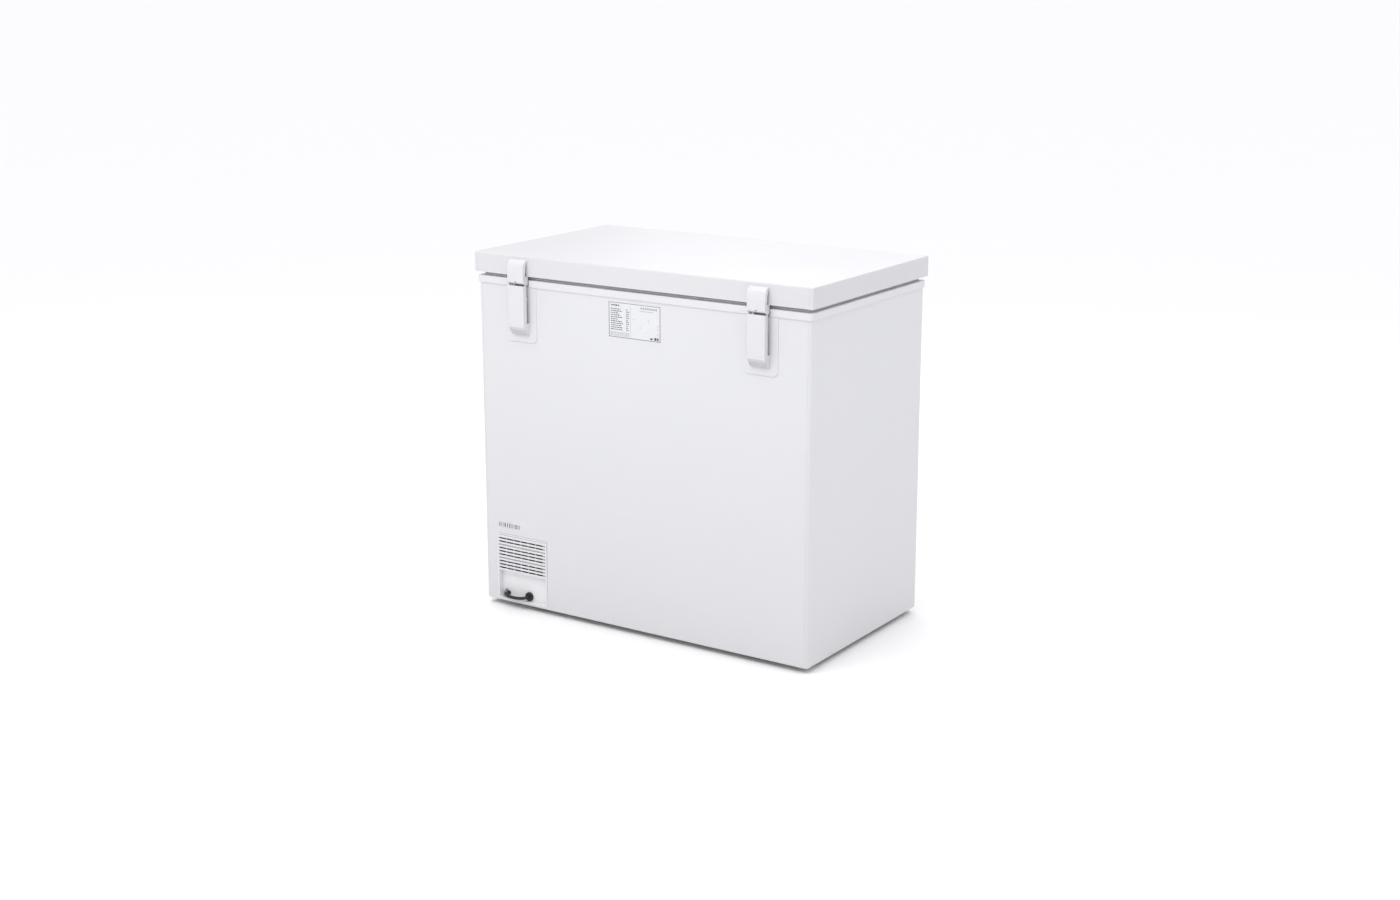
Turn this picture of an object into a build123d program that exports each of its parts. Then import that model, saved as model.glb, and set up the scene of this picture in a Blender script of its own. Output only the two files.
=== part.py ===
from build123d import *
import math
import os

os.makedirs("parts", exist_ok=True)

# Millimetres. X runs right as seen from the front, +Y is the back, Z is up.
# The origin is on the floor under the middle of the overall box.

# Fits
FIT = 0.1
MOVING_GAP = 0.3
RUNNING = 0.05

# Cabinet
BODY_W = 891.0
BODY_D = 503.0
BODY_CY = -0.5
BODY_BOTTOM = 12.0
PANEL_TOP = 785.0
SHEET = 1.0
CORNER_R = 8.0
BOTTOM_R = 5.0
FLANGE_W = 8.0
SEAM = 0.3
LAP_W = 10.5
LAP_BOTTOM = BODY_BOTTOM + BOTTOM_R + 0.5
BACK_Y = BODY_CY + BODY_D / 2
FRONT_Y = BODY_CY - BODY_D / 2
SIDE_X = BODY_W / 2
SEAM_X = SIDE_X - CORNER_R

# Top frame
FRAME_PROUD = 3.0
FRAME_SKIRT_Z = 779.0
FRAME_UNDER_Z = 786.0
FRAME_TOP_Z = 795.0

# Inner liner and foam
CAVITY_W = 768.0
CAVITY_D = 378.0
CAVITY_R = 28.0
CAVITY_FLOOR = 82.0
CAVITY_FLOOR_R = 12.0
LINER_T = 1.2
STEP_X = 165.0
STEP_Z = 290.0
LINER_FLANGE_W = 15.0
LINER_TOP = 785.8
FOAM_INSET = 2.3
FOAM_R = 10.0
FOAM_TOP = 784.5

# Base and machine compartment
PAN_Z = 13.0
PAN_T = 1.2
PAN_INSET = 5.2
PAN_TOP = PAN_Z + PAN_T
BULKHEAD_X = 222.0
BULKHEAD_Z = 235.0
FOOT_X = 375.0
FOOT_Y = 185.0
FOOT_R = 17.0

# Lid
LID_W = 905.0
LID_D = 517.0
LID_BOTTOM = 804.0
LID_TOP = 850.0
LID_R = 4.0
LID_EDGE_R = 4.0
LID_HEM = 8.0
LID_BACK_Y = BODY_CY + LID_D / 2
LID_FRONT_Y = BODY_CY - LID_D / 2
LINING_Z = LID_BOTTOM + SHEET + FIT
LINING_T = 1.5
BULGE_W = 732.0
BULGE_D = 344.0
BULGE_BOTTOM = 781.0
BULGE_R = 30.0
GASKET_OUT_W = 876.0
GASKET_OUT_D = 489.0
GASKET_W = 20.0
GASKET_BOTTOM = FRAME_TOP_Z + MOVING_GAP

# Hinges
HINGE_X = 322.0
HINGE_W = 45.0
HINGE_WALL = 2.0
HINGE_OUT_Y = 273.0
PIVOT_Y = 262.0
PIVOT_Z = 795.0
KNUCKLE_R = 11.0
BARREL_R = 7.0
PIN_R = 3.0
PLATE_W = 86.0
PLATE_T = 1.5
PLATE_BOTTOM = 649.0
PLATE_TOP = 778.5
HOUSING_TOP = 783.2
HOUSING_LOW_FRONT = 690.0
HOUSING_LOW_BACK = 667.0
SIDE_GAP = 8.0
EAR_IN = 14.0
EAR_T = 2.0
LEAF_T = 2.0
COVER_TOP = 842.0
SPRING_BOTTOM = 692.0
SPRING_TOP = 745.0
SPRING_R = 6.0
SPRING_WIRE = 1.0
PLUNGER_TOP = 779.5
HINGE_SIDES = ((-1, "left"), (1, "right"))

# Rear cover over the machine compartment
COVER_X0 = 262.0
COVER_X1 = 410.0
COVER_Z0 = 18.5
COVER_Z1 = 180.0
COVER_T = 1.2
COVER_LIP = 2.2
ROW_PITCH = 8.05
ROW_TOP = 168.0
ROW_H = 3.4
ROWS_OPEN = (0, 1, 3, 4, 5, 7, 8, 9)
ROWS_ALL = range(10)
SLOT_X0 = 275.0
SLOT_W = 18.8
SLOT_STEP = 21.8
SLOTS = 6
RECESS_TOP = 89.0
RECESS_FACE_Y = 240.0

# Power cord
CORD_D = 7.8
GLAND_X = 324.0
GLAND_Z = 32.5
GLAND_R = 10.8
TUCK_X = 387.0
TUCK_Z = 30.5
CORD_ROUTE = [
    (324.0, 242.0, 32.5),
    (324.0, 251.5, 32.3),
    (331.0, 258.0, 31.0),
    (345.5, 258.6, 28.6),
    (363.0, 258.6, 27.7),
    (380.0, 258.0, 29.4),
    (387.0, 251.5, 30.4),
    (387.0, 242.0, 30.4),
    (387.2, 226.0, 29.0),
    (386.4, 200.0, 24.4),
    (385.2, 172.0, 20.4),
    (384.6, 145.0, 18.7),
    (384.5, 120.0, 18.4),
]
COIL_X = 335.0
COIL_Y = 118.0
COIL_RADII = (34.5, 42.0, 49.5)
COIL_LOW_Z = 18.4
COIL_HIGH_Z = 26.0
PLUG_AXIS_Z = 28.0


def save(piece, node):
    piece.part.label = node
    export_step(piece.part, "parts/" + node + ".step")


def box_between(x0, x1, y0, y1, z0, z1, mode=Mode.ADD):
    with Locations(((x0 + x1) / 2, (y0 + y1) / 2, (z0 + z1) / 2)):
        Box(x1 - x0, y1 - y0, z1 - z0, mode=mode)


def ring(width, depth, radius, in_width, in_depth, in_radius, z0, z1):
    with BuildSketch(Plane.XY.offset(z0)) as outline:
        with Locations((0, BODY_CY)):
            RectangleRounded(width, depth, radius)
            RectangleRounded(in_width, in_depth, in_radius, mode=Mode.SUBTRACT)
    extrude(outline.sketch, amount=z1 - z0)


def rod_along(start, end, radius, mode=Mode.ADD):
    axis = Vector(*end) - Vector(*start)
    with BuildSketch(Plane(origin=start, z_dir=axis)) as end_face:
        Circle(radius)
    extrude(end_face.sketch, amount=axis.length, mode=mode)


def bend_radii(points):
    corners = []
    for a, b, c in zip(points, points[1:], points[2:]):
        before = Vector(*b) - Vector(*a)
        after = Vector(*c) - Vector(*b)
        half = math.radians(before.get_angle(after) / 2)
        corners.append(0.45 * min(before.length, after.length) / math.tan(half))
    return corners


def tube(points, radius, radii=None, mode=Mode.ADD):
    with BuildLine() as path:
        FilletPolyline(*points, radius=radii or bend_radii(points))
    wire = path.wires()[0]
    with BuildSketch(Plane(origin=wire @ 0, z_dir=wire % 0)) as section:
        Circle(radius)
    sweep(section.sketch, path=wire, mode=mode)
    return wire.length


# Cabinet sheets


def cabinet_shell():
    with BuildPart() as shell:
        with BuildSketch(Plane.XY.offset(BODY_BOTTOM)):
            with Locations((0, BODY_CY)):
                RectangleRounded(BODY_W, BODY_D, CORNER_R)
        extrude(amount=PANEL_TOP - BODY_BOTTOM)
        fillet(shell.faces().sort_by(Axis.Z)[0].edges(), BOTTOM_R)
        offset(amount=-SHEET, openings=shell.faces().sort_by(Axis.Z)[-1])
        with BuildSketch(Plane.XY.offset(BODY_BOTTOM)):
            with Locations((0, BODY_CY)):
                Rectangle(BODY_W - 2 * FLANGE_W, BODY_D - 2 * FLANGE_W)
        extrude(amount=2 * SHEET, mode=Mode.SUBTRACT)
    return shell.part


def side_panel(shell, side, openings):
    with BuildPart() as panel:
        add(shell)
        x0, x1 = sorted((side * SEAM_X, side * (SIDE_X + 1)))
        box_between(x0, x1, FRONT_Y - 1, BACK_Y + 1, 0, PANEL_TOP, mode=Mode.INTERSECT)
        for face_y, inward in ((BACK_Y, -1), (FRONT_Y, 1)):
            y0, y1 = sorted((face_y + inward * (SHEET + FIT), face_y + inward * (2 * SHEET + FIT)))
            lap_x = sorted((side * (SEAM_X + SHEET), side * (SEAM_X - LAP_W)))
            box_between(*lap_x, y0, y1, LAP_BOTTOM, PANEL_TOP)
            y2, y3 = sorted((face_y + inward * SHEET / 2, face_y + inward * 2 * SHEET))
            joggle_x = sorted((side * (SEAM_X + SHEET), side * SEAM_X))
            box_between(*joggle_x, y2, y3, LAP_BOTTOM, PANEL_TOP)
        for y0, y1, z0, z1 in openings:
            box_between(side * SIDE_X - 4, side * SIDE_X + 4, y0, y1, z0, z1, mode=Mode.SUBTRACT)
    return panel


def flat_panel(shell, y0, y1, boxes, holes):
    with BuildPart() as panel:
        add(shell)
        edge = SEAM_X - SEAM
        box_between(-edge, edge, y0, y1, 0, PANEL_TOP, mode=Mode.INTERSECT)
        for x0, x1, z0, z1 in boxes:
            box_between(x0, x1, y0, y1, z0, z1, mode=Mode.SUBTRACT)
        for x, z, radius in holes:
            rod_along((x, y0, z), (x, y1, z), radius, mode=Mode.SUBTRACT)
    return panel


# Right side grille, controls and drain outlet share these positions with the sheets
GRILLE_Y0, GRILLE_Y1 = -150.0, 50.0
GRILLE_Z0, GRILLE_Z1 = 60.0, 190.0
GRILLE_LIP = 6.0
CONTROL_X, CONTROL_Z = 335.0, 150.0
CONTROL_W, CONTROL_H = 150.0, 56.0
KNOB_X = 375.0
LAMP_XS = (285.0, 303.0, 321.0)
DRAIN_X, DRAIN_Y, DRAIN_Z = -330.0, -150.0, 44.0
DRAIN_R = 9.0
HINGE_SCREWS = ((-14.0, 700.0), (14.0, 700.0), (-14.0, 738.0), (14.0, 738.0))
HINGE_SCREW_R = 2.0

shell = cabinet_shell()
left_side_panel = side_panel(shell, -1, [])
save(left_side_panel, "left_side_panel")
right_side_panel = side_panel(
    shell,
    1,
    [(GRILLE_Y0 + GRILLE_LIP, GRILLE_Y1 - GRILLE_LIP, GRILLE_Z0 + GRILLE_LIP, GRILLE_Z1 - GRILLE_LIP)],
)
save(right_side_panel, "right_side_panel")
hinge_holes = [
    (side * HINGE_X + x, z, HINGE_SCREW_R + FIT) for side, _ in HINGE_SIDES for x, z in HINGE_SCREWS
]
back_panel = flat_panel(
    shell,
    BACK_Y - CORNER_R - 1,
    BACK_Y + 1,
    [(COVER_X0 + COVER_LIP, COVER_X1 - COVER_LIP, COVER_Z0 + COVER_LIP, COVER_Z1 - COVER_LIP)],
    hinge_holes,
)
save(back_panel, "back_panel")
front_panel = flat_panel(
    shell,
    FRONT_Y - 1,
    FRONT_Y + CORNER_R + 1,
    [],
    [(DRAIN_X, DRAIN_Z, DRAIN_R + FIT), (KNOB_X, CONTROL_Z, 7.0)] + [(x, CONTROL_Z, 5.0) for x in LAMP_XS],
)
save(front_panel, "front_panel")


def make_top_frame():
    with BuildPart() as frame:
        wide = BODY_W + 2 * FRAME_PROUD
        deep = BODY_D + 2 * FRAME_PROUD
        ring(wide, deep, CORNER_R + 1, CAVITY_W, CAVITY_D, CAVITY_R, FRAME_UNDER_Z, FRAME_TOP_Z)
        fillet(frame.faces().sort_by(Axis.Z)[-1].edges(), 2.0)
        skirt_w = BODY_W + 2 * MOVING_GAP
        skirt_d = BODY_D + 2 * MOVING_GAP
        ring(wide, deep, CORNER_R + 1, skirt_w, skirt_d, CORNER_R, FRAME_SKIRT_Z, FRAME_UNDER_Z)
        for side, _ in HINGE_SIDES:
            x0 = side * HINGE_X - HINGE_W / 2 - 2
            x1 = side * HINGE_X + HINGE_W / 2 + 2
            box_between(x0, x1, BACK_Y - 2, BACK_Y + 5, FRAME_UNDER_Z, FRAME_TOP_Z + 1, mode=Mode.SUBTRACT)
            box_between(
                x0, x1, BACK_Y + FIT, BACK_Y + 5, FRAME_SKIRT_Z - 1, FRAME_UNDER_Z, mode=Mode.SUBTRACT
            )
    return frame


save(make_top_frame(), "top_frame")


def tub(grow, top):
    """The stepped block of the storage space, grown all round."""
    floor = CAVITY_FLOOR - grow
    with BuildPart() as block:
        with BuildSketch(Plane.XY.offset(floor)):
            with Locations((0, BODY_CY)):
                RectangleRounded(CAVITY_W + 2 * grow, CAVITY_D + 2 * grow, CAVITY_R + grow)
        extrude(amount=top - floor)
        fillet(block.faces().sort_by(Axis.Z)[0].edges(), CAVITY_FLOOR_R)
        box_between(STEP_X + grow, SIDE_X, FRONT_Y, BACK_Y, 0, STEP_Z - grow, mode=Mode.SUBTRACT)
    return block.part


def drain_points(front_y):
    return [
        (DRAIN_X, DRAIN_Y, CAVITY_FLOOR - LINER_T - FIT),
        (DRAIN_X, DRAIN_Y, DRAIN_Z),
        (DRAIN_X, front_y, DRAIN_Z),
    ]


liner_outer = tub(LINER_T, LINER_TOP)
liner_void = tub(0.0, FRAME_UNDER_Z + 10)

with BuildPart() as inner_liner:
    add(liner_outer)
    flange_w = CAVITY_W + 2 * LINER_FLANGE_W
    flange_d = CAVITY_D + 2 * LINER_FLANGE_W
    with BuildSketch(Plane.XY.offset(LINER_TOP - LINER_T)):
        with Locations((0, BODY_CY)):
            RectangleRounded(flange_w, flange_d, CAVITY_R + LINER_FLANGE_W)
    extrude(amount=LINER_T)
    add(liner_void, mode=Mode.SUBTRACT)
    rod_along((DRAIN_X, DRAIN_Y, 70), (DRAIN_X, DRAIN_Y, 90), 7.0, mode=Mode.SUBTRACT)
save(inner_liner, "inner_liner")

FOAM_X = SIDE_X - FOAM_INSET
FOAM_Y0 = FRONT_Y + FOAM_INSET
FOAM_Y1 = BACK_Y - FOAM_INSET
WELL_GROW = LINER_T + FIT
WELL_X = CAVITY_W / 2 + WELL_GROW
WELL_Y0 = BODY_CY - CAVITY_D / 2 - WELL_GROW
WELL_Y1 = BODY_CY + CAVITY_D / 2 + WELL_GROW
FOAM_LOW = PAN_TOP + FIT
FOAM_FLOOR = CAVITY_FLOOR - WELL_GROW
FOAM_STEP_X = STEP_X + WELL_GROW
FOAM_STEP_Z = STEP_Z - WELL_GROW
FOAM_MACHINE_X = BULKHEAD_X - FIT
FOAM_MACHINE_Z = BULKHEAD_Z + SHEET + FIT
JOINT = 0.1


def foam_blocks():
    """Each foam slab as its x, y and z limits: walls, floor, and the step over the machinery."""
    blocks = []
    for y0, y1 in ((FOAM_Y0, WELL_Y0), (WELL_Y1, FOAM_Y1)):
        blocks.append((-FOAM_X, FOAM_MACHINE_X - JOINT, y0, y1, FOAM_LOW, FOAM_TOP))
        blocks.append((FOAM_MACHINE_X, FOAM_X, y0, y1, FOAM_MACHINE_Z, FOAM_TOP))
    inner_y = (WELL_Y0 + JOINT, WELL_Y1 - JOINT)
    blocks.append((-FOAM_X, -WELL_X, *inner_y, FOAM_LOW, FOAM_TOP))
    blocks.append((WELL_X, FOAM_X, *inner_y, FOAM_MACHINE_Z, FOAM_TOP))
    blocks.append((JOINT - WELL_X, FOAM_STEP_X - JOINT, *inner_y, FOAM_LOW, FOAM_FLOOR))
    blocks.append((FOAM_STEP_X, FOAM_MACHINE_X - JOINT, *inner_y, FOAM_LOW, FOAM_STEP_Z))
    blocks.append((FOAM_MACHINE_X, WELL_X - JOINT, *inner_y, FOAM_MACHINE_Z, FOAM_STEP_Z))
    return blocks


with BuildPart() as foam_insulation:
    for block in foam_blocks():
        box_between(*block)
    with BuildSketch(Plane.XY.offset(PAN_TOP)):
        with Locations((0, BODY_CY)):
            RectangleRounded(2 * FOAM_X, FOAM_Y1 - FOAM_Y0, FOAM_R)
    extrude(amount=FOAM_TOP, mode=Mode.INTERSECT)
    tube(drain_points(FRONT_Y), DRAIN_R + FIT, radii=[18.0], mode=Mode.SUBTRACT)
save(foam_insulation, "foam_insulation")

with BuildPart() as base_pan:
    with BuildSketch(Plane.XY.offset(PAN_Z)):
        with Locations((0, BODY_CY)):
            RectangleRounded(BODY_W - 2 * PAN_INSET, BODY_D - 2 * PAN_INSET, FOAM_R)
    extrude(amount=PAN_T)
    for x in (260.0, 284.0, 308.0, 332.0):
        box_between(x - 4, x + 4, -220, -150, PAN_Z - 1, PAN_TOP + 1, mode=Mode.SUBTRACT)
save(base_pan, "base_pan")

with BuildPart() as machine_bulkhead:
    y0, y1 = FRONT_Y + FOAM_INSET, BACK_Y - FOAM_INSET
    box_between(BULKHEAD_X, BULKHEAD_X + SHEET, y0, y1, PAN_TOP + FIT, BULKHEAD_Z + SHEET)
    box_between(BULKHEAD_X, SIDE_X - SHEET - FIT, y0, y1, BULKHEAD_Z, BULKHEAD_Z + SHEET)
    for x, y in ((SIDE_X, BACK_Y), (SIDE_X, FRONT_Y)):
        box_between(x - 12, x + 1, y - 12, y + 12, PAN_Z, BULKHEAD_Z + 5, mode=Mode.SUBTRACT)
save(machine_bulkhead, "machine_bulkhead")

with BuildPart() as feet:
    for x in (-FOOT_X, FOOT_X):
        for y in (-FOOT_Y, FOOT_Y):
            with BuildSketch(Plane.XY.offset(0)):
                with Locations((x, y)):
                    Circle(FOOT_R - 2)
            extrude(amount=2.0)
            with BuildSketch(Plane.XY.offset(2.0)):
                with Locations((x, y)):
                    Circle(FOOT_R)
            extrude(amount=PAN_Z - 2.0 - FIT)
save(feet, "feet")

# Lid

with BuildPart() as lid_outer_skin:
    with BuildSketch(Plane.XY.offset(LID_BOTTOM)):
        with Locations((0, BODY_CY)):
            RectangleRounded(LID_W, LID_D, LID_R)
    extrude(amount=LID_TOP - LID_BOTTOM)
    fillet(lid_outer_skin.faces().sort_by(Axis.Z)[-1].edges(), LID_EDGE_R - 1)
    offset(amount=-SHEET, openings=lid_outer_skin.faces().sort_by(Axis.Z)[0])
    ring(
        LID_W - SHEET, LID_D - SHEET, LID_R, LID_W - 2 * LID_HEM, LID_D - 2 * LID_HEM, LID_R,
        LID_BOTTOM, LID_BOTTOM + SHEET,
    )
    for x in (-444.0, 444.0):
        for y in (LID_BACK_Y, LID_FRONT_Y):
            box_between(x - 0.25, x + 0.25, y - 0.5, y + 0.5, LID_BOTTOM, LID_TOP - 3, mode=Mode.SUBTRACT)
save(lid_outer_skin, "lid_outer_skin")

LINING_W = LID_W - 2 * SHEET - 4 * FIT
LINING_D = LID_D - 2 * SHEET - 4 * FIT

with BuildPart() as lid_inner_panel:
    with BuildSketch(Plane.XY.offset(LINING_Z)):
        with Locations((0, BODY_CY)):
            RectangleRounded(LINING_W, LINING_D, LID_R)
    extrude(amount=LINING_T)
    with BuildSketch(Plane.XY.offset(BULGE_BOTTOM)):
        with Locations((0, BODY_CY)):
            RectangleRounded(BULGE_W, BULGE_D, BULGE_R)
    extrude(amount=LINING_Z - BULGE_BOTTOM)
    fillet(lid_inner_panel.faces().sort_by(Axis.Z)[0].edges(), 8.0)
    with BuildSketch(Plane.XY.offset(BULGE_BOTTOM + LINING_T)):
        with Locations((0, BODY_CY)):
            RectangleRounded(BULGE_W - 2 * LINING_T, BULGE_D - 2 * LINING_T, BULGE_R - LINING_T)
    extrude(amount=LINING_Z + LINING_T - BULGE_BOTTOM, mode=Mode.SUBTRACT)
save(lid_inner_panel, "lid_inner_panel")

with BuildPart() as lid_foam:
    with BuildSketch(Plane.XY.offset(LINING_Z + LINING_T + FIT)):
        with Locations((0, BODY_CY)):
            RectangleRounded(LINING_W, LINING_D, LID_R + 2)
    extrude(amount=LID_TOP - SHEET - 3 * FIT - LINING_Z - LINING_T)
    fillet(lid_foam.faces().sort_by(Axis.Z)[-1].edges(), 4.0)
    with BuildSketch(Plane.XY.offset(BULGE_BOTTOM + LINING_T + FIT)):
        with Locations((0, BODY_CY)):
            inset = 2 * (LINING_T + FIT)
            RectangleRounded(BULGE_W - inset - 8, BULGE_D - inset - 8, BULGE_R - LINING_T)
    extrude(amount=LINING_Z + LINING_T - BULGE_BOTTOM)
save(lid_foam, "lid_foam")

with BuildPart() as lid_gasket:
    ring(
        GASKET_OUT_W, GASKET_OUT_D, 12, GASKET_OUT_W - 2 * GASKET_W, GASKET_OUT_D - 2 * GASKET_W, 8,
        GASKET_BOTTOM, GASKET_BOTTOM + 4.0,
    )
    ring(
        GASKET_OUT_W - 8, GASKET_OUT_D - 8, 10, GASKET_OUT_W - 24, GASKET_OUT_D - 24, 6,
        GASKET_BOTTOM + 4.0, LINING_Z,
    )
save(lid_gasket, "lid_gasket")

HANDLE_W = 176.0
HANDLE_OUT = 14.0
HANDLE_Z0, HANDLE_Z1 = 808.0, 842.0
GRIP_W = 150.0

with BuildPart() as lid_handle:
    y_out = LID_FRONT_Y - HANDLE_OUT
    box_between(-HANDLE_W / 2, HANDLE_W / 2, y_out, LID_FRONT_Y, HANDLE_Z0, HANDLE_Z1)
    fillet(lid_handle.edges().filter_by(Axis.Z).sort_by(Axis.Y)[:2], 10.0)
    fillet(lid_handle.faces().sort_by(Axis.Z)[-1].edges().sort_by(Axis.Y)[0:3], 4.0)
    box_between(
        -GRIP_W / 2, GRIP_W / 2, y_out + 3.5, LID_FRONT_Y - 2, HANDLE_Z0 - 1, HANDLE_Z1 - 7,
        mode=Mode.SUBTRACT,
    )
save(lid_handle, "lid_handle")

# Hinges


def profile_prism(x0, x1, points, mode=Mode.ADD):
    """A flat outline in Y and Z, carried from x0 to x1."""
    with BuildSketch(Plane.YZ.offset(x0)) as outline:
        with BuildLine():
            Polyline(*points, close=True)
        make_face()
    extrude(outline.sketch, amount=x1 - x0, mode=mode)


def base_plate(cx):
    with BuildPart() as plate:
        y0 = BACK_Y + FIT
        box_between(cx - PLATE_W / 2, cx + PLATE_W / 2, y0, y0 + PLATE_T, PLATE_BOTTOM, PLATE_TOP)
        fillet(plate.edges().filter_by(Axis.Y).sort_by(Axis.Z)[:2], 12.0)
        chamfer(plate.faces().sort_by(Axis.Y)[-1].edges(), 0.7)
        for sign in (-1, 1):
            x0, x1 = sorted((cx + sign * EAR_IN, cx + sign * (EAR_IN + EAR_T)))
            profile_prism(
                x0, x1,
                [
                    (y0, 742.0), (y0 + 3.5, 742.0), (y0 + 3.5, PIVOT_Z - 7), (PIVOT_Y - 2, PIVOT_Z - 6.7),
                    (PIVOT_Y, PIVOT_Z), (PIVOT_Y - BARREL_R + 0.4, PIVOT_Z + 1),
                    (y0 + 0.4, PLATE_TOP + 6), (y0, PLATE_TOP - 1),
                ],
            )
            rod_along((x0, PIVOT_Y, PIVOT_Z), (x1, PIVOT_Y, PIVOT_Z), BARREL_R)
        rod_along(
            (cx - 20, PIVOT_Y, PIVOT_Z), (cx + 20, PIVOT_Y, PIVOT_Z), PIN_R + RUNNING, mode=Mode.SUBTRACT
        )
        for x, z in HINGE_SCREWS:
            rod_along((cx + x, y0 - 1, z), (cx + x, y0 + 4, z), HINGE_SCREW_R + FIT, mode=Mode.SUBTRACT)
    return plate


def hinge_housing(cx):
    y0 = BACK_Y + FIT + PLATE_T + FIT
    out = HINGE_OUT_Y
    wall = HINGE_WALL
    outer = [
        (y0, HOUSING_LOW_BACK), (y0 + 6, HOUSING_LOW_BACK + 1.5), (out - 5, HOUSING_LOW_FRONT - 9),
        (out - 1.6, HOUSING_LOW_FRONT - 3), (out, HOUSING_LOW_FRONT + 5), (out, HOUSING_TOP),
        (y0, HOUSING_TOP),
    ]
    inner = [
        (y0 - 1, HOUSING_LOW_BACK + 2), (y0 + 5, HOUSING_LOW_BACK + 4), (out - 6.5, HOUSING_LOW_FRONT - 6.6),
        (out - 3.4, HOUSING_LOW_FRONT - 1.5), (out - wall, HOUSING_LOW_FRONT + 6),
        (out - wall, HOUSING_TOP + 1),
        (y0 - 1, HOUSING_TOP + 1),
    ]
    with BuildPart() as housing:
        profile_prism(cx - HINGE_W / 2, cx + HINGE_W / 2, outer)
        fillet(housing.edges().filter_by(Axis.Z).sort_by(Axis.Y)[-2:], 2.0)
        profile_prism(cx - HINGE_W / 2 + wall, cx + HINGE_W / 2 - wall, inner, mode=Mode.SUBTRACT)
        box_between(
            cx - HINGE_W, cx + HINGE_W, y0 - 1, y0 + SIDE_GAP, HOUSING_LOW_FRONT + 6, HOUSING_TOP + 1,
            mode=Mode.SUBTRACT,
        )
        low_z = SPRING_BOTTOM - 2.0
        box_between(cx - HINGE_W / 2 + 1, cx + HINGE_W / 2 - 1, y0, out - 1, low_z, SPRING_BOTTOM - FIT)
        guide_z = 750.0
        half = HINGE_W / 2 - 1
        box_between(cx - half, cx + half, y0 + 4, out - 1, guide_z, guide_z + 4)
        for sign in (-1, 1):
            x0, x1 = sorted((cx + sign * (EAR_IN - 1), cx + sign * (EAR_IN + EAR_T + 1)))
            box_between(x0, x1, y0, out - wall, guide_z - 1, guide_z + 5, mode=Mode.SUBTRACT)
        rod_along(
            (cx, PIVOT_Y, guide_z - 1), (cx, PIVOT_Y, guide_z + 5), SPRING_R + RUNNING,
            mode=Mode.SUBTRACT,
        )
    return housing


def hinge_plunger(cx):
    with BuildPart() as plunger:
        rod_along((cx, PIVOT_Y, SPRING_TOP + FIT), (cx, PIVOT_Y, PLUNGER_TOP), SPRING_R)
        fillet(plunger.faces().sort_by(Axis.Z)[-1].edges(), 1.5)
    return plunger


def hinge_spring(cx):
    turns = 8
    height = SPRING_TOP - SPRING_BOTTOM - 2 * SPRING_WIRE
    with BuildPart() as spring:
        with BuildLine() as path:
            foot = (cx, PIVOT_Y, SPRING_BOTTOM + SPRING_WIRE)
            Helix(pitch=height / turns, height=height, radius=SPRING_R - SPRING_WIRE, center=foot)
        wire = path.wires()[0]
        with BuildSketch(Plane(origin=wire @ 0, z_dir=wire % 0)) as section:
            Circle(SPRING_WIRE)
        sweep(section.sketch, path=wire)
    return spring


LEAF_Y0 = LID_BACK_Y + FIT
LEAF_SCREWS = ((-11.0, 818.0), (11.0, 818.0), (0.0, 832.0))


def lid_bracket(cx):
    with BuildPart() as bracket:
        inner = EAR_IN - MOVING_GAP
        rod_along((cx - inner, PIVOT_Y, PIVOT_Z), (cx + inner, PIVOT_Y, PIVOT_Z), BARREL_R)
        box_between(cx - inner, cx + inner, LEAF_Y0, LEAF_Y0 + LEAF_T, PIVOT_Z, 806)
        box_between(cx - 18, cx + 18, LEAF_Y0, LEAF_Y0 + LEAF_T, 804.5, 838)
        fillet(bracket.edges().filter_by(Axis.Y).sort_by(Axis.Z)[-2:], 4.0)
        rod_along(
            (cx - 20, PIVOT_Y, PIVOT_Z), (cx + 20, PIVOT_Y, PIVOT_Z), PIN_R + RUNNING, mode=Mode.SUBTRACT
        )
        for x, z in LEAF_SCREWS:
            rod_along(
                (cx + x, LEAF_Y0 - 1, z), (cx + x, LEAF_Y0 + 4, z), HINGE_SCREW_R + FIT, mode=Mode.SUBTRACT
            )
    return bracket


def arc_points(radius, start, end, steps):
    """Points on a circle about the hinge axis, in degrees from +Y towards +Z."""
    found = []
    for step in range(steps + 1):
        angle = math.radians(start + (end - start) * step / steps)
        found.append((PIVOT_Y + radius * math.cos(angle), PIVOT_Z + radius * math.sin(angle)))
    return found


def hinge_cover(cx):
    y0 = LID_BACK_Y + FIT
    wall = 1.6
    nose = [(y0, COVER_TOP), (266.0, 839.0), (270.6, 833.0), (272.6, 825.0), (HINGE_OUT_Y, 815.0)]
    nose_in = [(y0 - 1, COVER_TOP - wall), (265.0, 837.2), (269.0, 832.0), (271.0, 824.5), (271.4, 815.0)]
    knuckle_back = [(253.6, LID_BOTTOM - 0.8), (y0, LID_BOTTOM - 0.8)]
    outer = nose + arc_points(KNUCKLE_R, 0, -140, 14) + knuckle_back
    front_lip = arc_points(KNUCKLE_R - wall, 0, -40, 4) + arc_points(KNUCKLE_R + 2, -40, -140, 10)
    inner = nose_in + front_lip + [(250.0, 803.0), (y0 - 1, 803.0)]
    with BuildPart() as cover:
        profile_prism(cx - HINGE_W / 2, cx + HINGE_W / 2, outer)
        inside = HINGE_W / 2 - HINGE_WALL
        profile_prism(cx - inside, cx + inside, inner, mode=Mode.SUBTRACT)
        wedge = [
            (y0 - 1, LID_BOTTOM + 1), (265.5, LID_BOTTOM + 1), (263.5, 822.0),
            (y0 + 0.8, 838.0), (y0 - 1, 838.0),
        ]
        profile_prism(cx - HINGE_W, cx + HINGE_W, wedge, mode=Mode.SUBTRACT)
        rod_along((cx, 269.5, 792.0), (cx, 274.0, 792.0), 1.8, mode=Mode.SUBTRACT)
    return cover


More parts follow.
